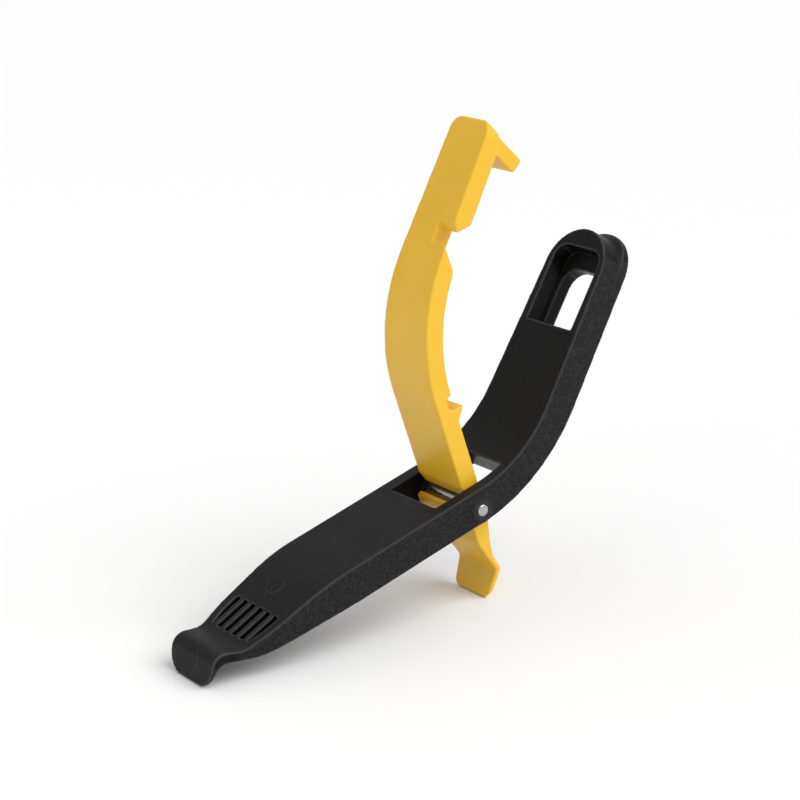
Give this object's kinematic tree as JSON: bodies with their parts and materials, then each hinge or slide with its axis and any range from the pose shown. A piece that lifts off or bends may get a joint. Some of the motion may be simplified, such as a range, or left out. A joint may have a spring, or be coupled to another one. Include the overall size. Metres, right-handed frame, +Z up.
{
  "type": "tyre lever",
  "caption": "Two-piece tyre lever: a bent black lever with a spoon tip and a hooked yellow lever that swings on a steel pin.",
  "frame": {"origin": "middle of the footprint, on the ground under the two spoon tips that the open lever stands on", "axes": "+Z up, +Y along the hinge pin, +X from the black spoon tip towards the black lever's round end"},
  "size_m": [0.1356, 0.0278, 0.1244],
  "materials": {
    "black_plastic": "fine spark texture, satin where worn",
    "yellow_plastic": "semi-gloss moulded",
    "pin_steel": "bright zinc, turned"
  },
  "bodies": {
    "bent_lever": {"bent_lever": "black_plastic", "pivot_pin": "pin_steel"},
    "hooked_lever": {"hooked_lever": "yellow_plastic"}
  },
  "joints": [
    {"name": "swing", "type": "hinge", "parent": "bent_lever", "child": "hooked_lever", "pos_m": [0.01208, 0, 0.02795], "axis": [0, 1, 0], "range_deg": [-52, 30]}
  ]
}
